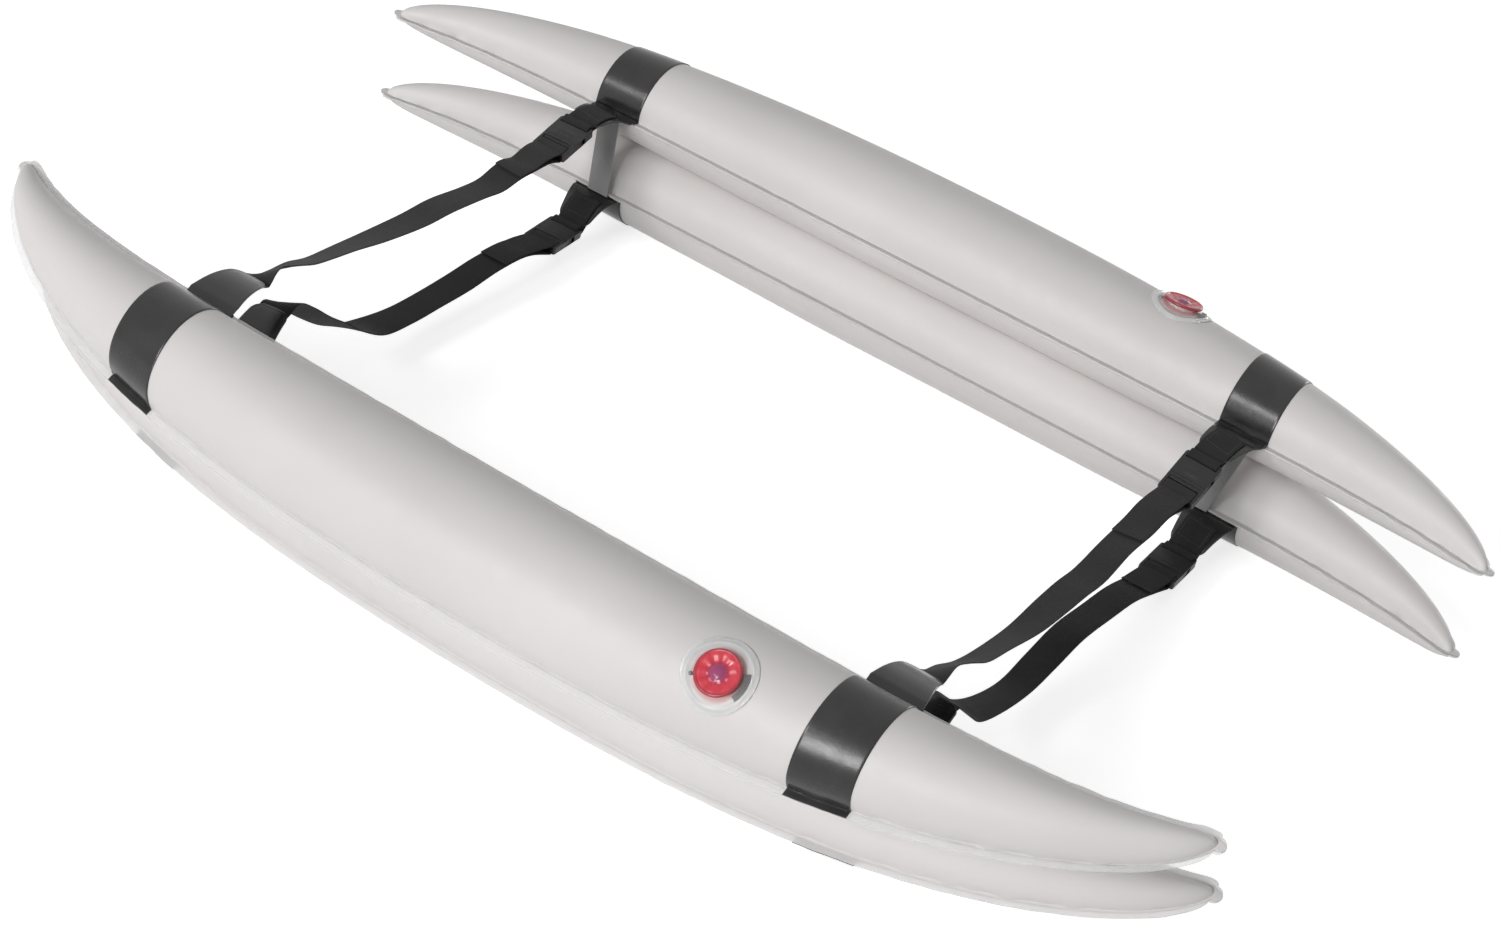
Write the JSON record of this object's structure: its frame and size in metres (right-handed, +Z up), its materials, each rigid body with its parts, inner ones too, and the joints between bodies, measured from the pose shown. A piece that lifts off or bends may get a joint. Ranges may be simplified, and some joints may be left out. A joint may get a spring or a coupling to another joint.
{
  "type": "paddleboard stabilizer",
  "caption": "Two inflatable twin-tube pontoons joined by four adjustable webbing straps with side-release buckles, to steady a paddleboard.",
  "frame": {"origin": "middle of the footprint, on the ground under both pontoons", "axes": "+X along the pontoons towards the valve end, +Y across from the near pontoon to the far one, +Z up"},
  "size_m": [1.5166, 1.0588, 0.2458],
  "materials": {
    "pale_vinyl": "satin pale grey inflated vinyl",
    "dark_vinyl": "glossy charcoal vinyl",
    "grey_webbing": "matt grey woven webbing",
    "black_webbing": "matt black woven webbing",
    "buckle_plastic": "moulded black acetal",
    "clear_vinyl": "clear soft vinyl",
    "red_vinyl": "glossy translucent red vinyl"
  },
  "bodies": {
    "near_pontoon": {"near_upper_tube_top_panel": "pale_vinyl", "near_upper_tube_bottom_panel": "pale_vinyl", "near_lower_tube_top_panel": "pale_vinyl", "near_lower_tube_bottom_panel": "pale_vinyl", "near_left_upper_band": "dark_vinyl", "near_left_lower_band": "dark_vinyl", "near_right_upper_band": "dark_vinyl", "near_right_lower_band": "dark_vinyl", "near_left_riser": "grey_webbing", "near_right_riser": "grey_webbing", "near_left_upper_tab": "dark_vinyl", "near_left_lower_tab": "dark_vinyl", "near_right_upper_tab": "dark_vinyl", "near_right_lower_tab": "dark_vinyl", "near_valve_base": "clear_vinyl", "left_upper_strap": "black_webbing", "left_lower_strap": "black_webbing", "right_upper_strap": "black_webbing", "right_lower_strap": "black_webbing"},
    "far_pontoon": {"far_upper_tube_top_panel": "pale_vinyl", "far_upper_tube_bottom_panel": "pale_vinyl", "far_lower_tube_top_panel": "pale_vinyl", "far_lower_tube_bottom_panel": "pale_vinyl", "far_left_upper_band": "dark_vinyl", "far_left_lower_band": "dark_vinyl", "far_right_upper_band": "dark_vinyl", "far_right_lower_band": "dark_vinyl", "far_left_riser": "grey_webbing", "far_right_riser": "grey_webbing", "far_left_upper_tab": "dark_vinyl", "far_left_lower_tab": "dark_vinyl", "far_right_upper_tab": "dark_vinyl", "far_right_lower_tab": "dark_vinyl", "far_valve_base": "clear_vinyl", "left_upper_anchor_loop": "black_webbing", "left_lower_anchor_loop": "black_webbing", "right_upper_anchor_loop": "black_webbing", "right_lower_anchor_loop": "black_webbing", "left_upper_buckle_female": "buckle_plastic", "left_upper_buckle_male": "buckle_plastic", "left_lower_buckle_female": "buckle_plastic", "left_lower_buckle_male": "buckle_plastic", "right_upper_buckle_female": "buckle_plastic", "right_upper_buckle_male": "buckle_plastic", "right_lower_buckle_female": "buckle_plastic", "right_lower_buckle_male": "buckle_plastic"},
    "left_upper_release_a": {"left_upper_buckle_arm_a": "buckle_plastic"},
    "left_upper_release_b": {"left_upper_buckle_arm_b": "buckle_plastic"},
    "left_lower_release_a": {"left_lower_buckle_arm_a": "buckle_plastic"},
    "left_lower_release_b": {"left_lower_buckle_arm_b": "buckle_plastic"},
    "right_upper_release_a": {"right_upper_buckle_arm_a": "buckle_plastic"},
    "right_upper_release_b": {"right_upper_buckle_arm_b": "buckle_plastic"},
    "right_lower_release_a": {"right_lower_buckle_arm_a": "buckle_plastic"},
    "right_lower_release_b": {"right_lower_buckle_arm_b": "buckle_plastic"},
    "near_cap": {"near_valve_cap": "red_vinyl"},
    "near_flap": {"near_valve_flap": "clear_vinyl"},
    "far_cap": {"far_valve_cap": "red_vinyl"},
    "far_flap": {"far_valve_flap": "clear_vinyl"}
  },
  "joints": [
    {"name": "pontoon_spread", "type": "slide", "parent": "near_pontoon", "child": "far_pontoon", "axis": [0, 1, 0], "range_m": [-0.2, 0.05], "deforming": ["left_upper_strap", "left_lower_strap", "right_upper_strap", "right_lower_strap"]},
    {"name": "left_upper_release_a_press", "type": "hinge", "parent": "far_pontoon", "child": "left_upper_release_a", "pos_m": [-0.42615, 0.26552, 0.16408], "axis": [0, -0.2516, 0.9678], "range_deg": [0, 8], "stiffness_Nm_per_rad": 0.2, "springref_deg": -1.15},
    {"name": "left_upper_release_b_press", "type": "hinge", "parent": "far_pontoon", "child": "left_upper_release_b", "pos_m": [-0.45913, 0.26428, 0.16376], "axis": [0, 0.2516, -0.9678], "range_deg": [0, 8], "stiffness_Nm_per_rad": 0.2, "springref_deg": -1.15},
    {"name": "left_lower_release_a_press", "type": "hinge", "parent": "far_pontoon", "child": "left_lower_release_a", "pos_m": [-0.41567, 0.27043, 0.03382], "axis": [0, -0.02, 0.9998], "range_deg": [0, 8], "stiffness_Nm_per_rad": 0.2, "springref_deg": -1.15},
    {"name": "left_lower_release_b_press", "type": "hinge", "parent": "far_pontoon", "child": "left_lower_release_b", "pos_m": [-0.44861, 0.26845, 0.03378], "axis": [0, 0.02, -0.9998], "range_deg": [0, 8], "stiffness_Nm_per_rad": 0.2, "springref_deg": -1.15},
    {"name": "right_upper_release_a_press", "type": "hinge", "parent": "far_pontoon", "child": "right_upper_release_a", "pos_m": [0.44222, 0.26789, 0.14448], "axis": [0, -0.3872, 0.922], "range_deg": [0, 8], "stiffness_Nm_per_rad": 0.2, "springref_deg": -1.15},
    {"name": "right_upper_release_b_press", "type": "hinge", "parent": "far_pontoon", "child": "right_upper_release_b", "pos_m": [0.40924, 0.26901, 0.14495], "axis": [0, 0.3872, -0.922], "range_deg": [0, 8], "stiffness_Nm_per_rad": 0.2, "springref_deg": -1.15},
    {"name": "right_lower_release_a_press", "type": "hinge", "parent": "far_pontoon", "child": "right_lower_release_a", "pos_m": [0.4497, 0.2729, 0.02951], "axis": [0, -0.02, 0.9998], "range_deg": [0, 8], "stiffness_Nm_per_rad": 0.2, "springref_deg": -1.15},
    {"name": "right_lower_release_b_press", "type": "hinge", "parent": "far_pontoon", "child": "right_lower_release_b", "pos_m": [0.41671, 0.27224, 0.0295], "axis": [0, 0.02, -0.9998], "range_deg": [0, 8], "stiffness_Nm_per_rad": 0.2, "springref_deg": -1.15},
    {"name": "near_cap_pull", "type": "slide", "parent": "near_pontoon", "child": "near_cap", "axis": [0, -0.6902, 0.7236], "range_m": [0, 0.012]},
    {"name": "near_flap_open", "type": "hinge", "parent": "near_pontoon", "child": "near_flap", "pos_m": [0.2845, -0.48937, 0.19453], "axis": [0, 0.7236, 0.6902], "range_deg": [0, 25], "stiffness_Nm_per_rad": 0.02, "springref_deg": -2.86},
    {"name": "far_cap_pull", "type": "slide", "parent": "far_pontoon", "child": "far_cap", "axis": [0, 0.2275, 0.9738], "range_m": [0, 0.012]},
    {"name": "far_flap_open", "type": "hinge", "parent": "far_pontoon", "child": "far_flap", "pos_m": [0.2845, 0.4557, 0.21937], "axis": [0, 0.9738, -0.2275], "range_deg": [0, 25], "stiffness_Nm_per_rad": 0.02, "springref_deg": -2.86}
  ]
}
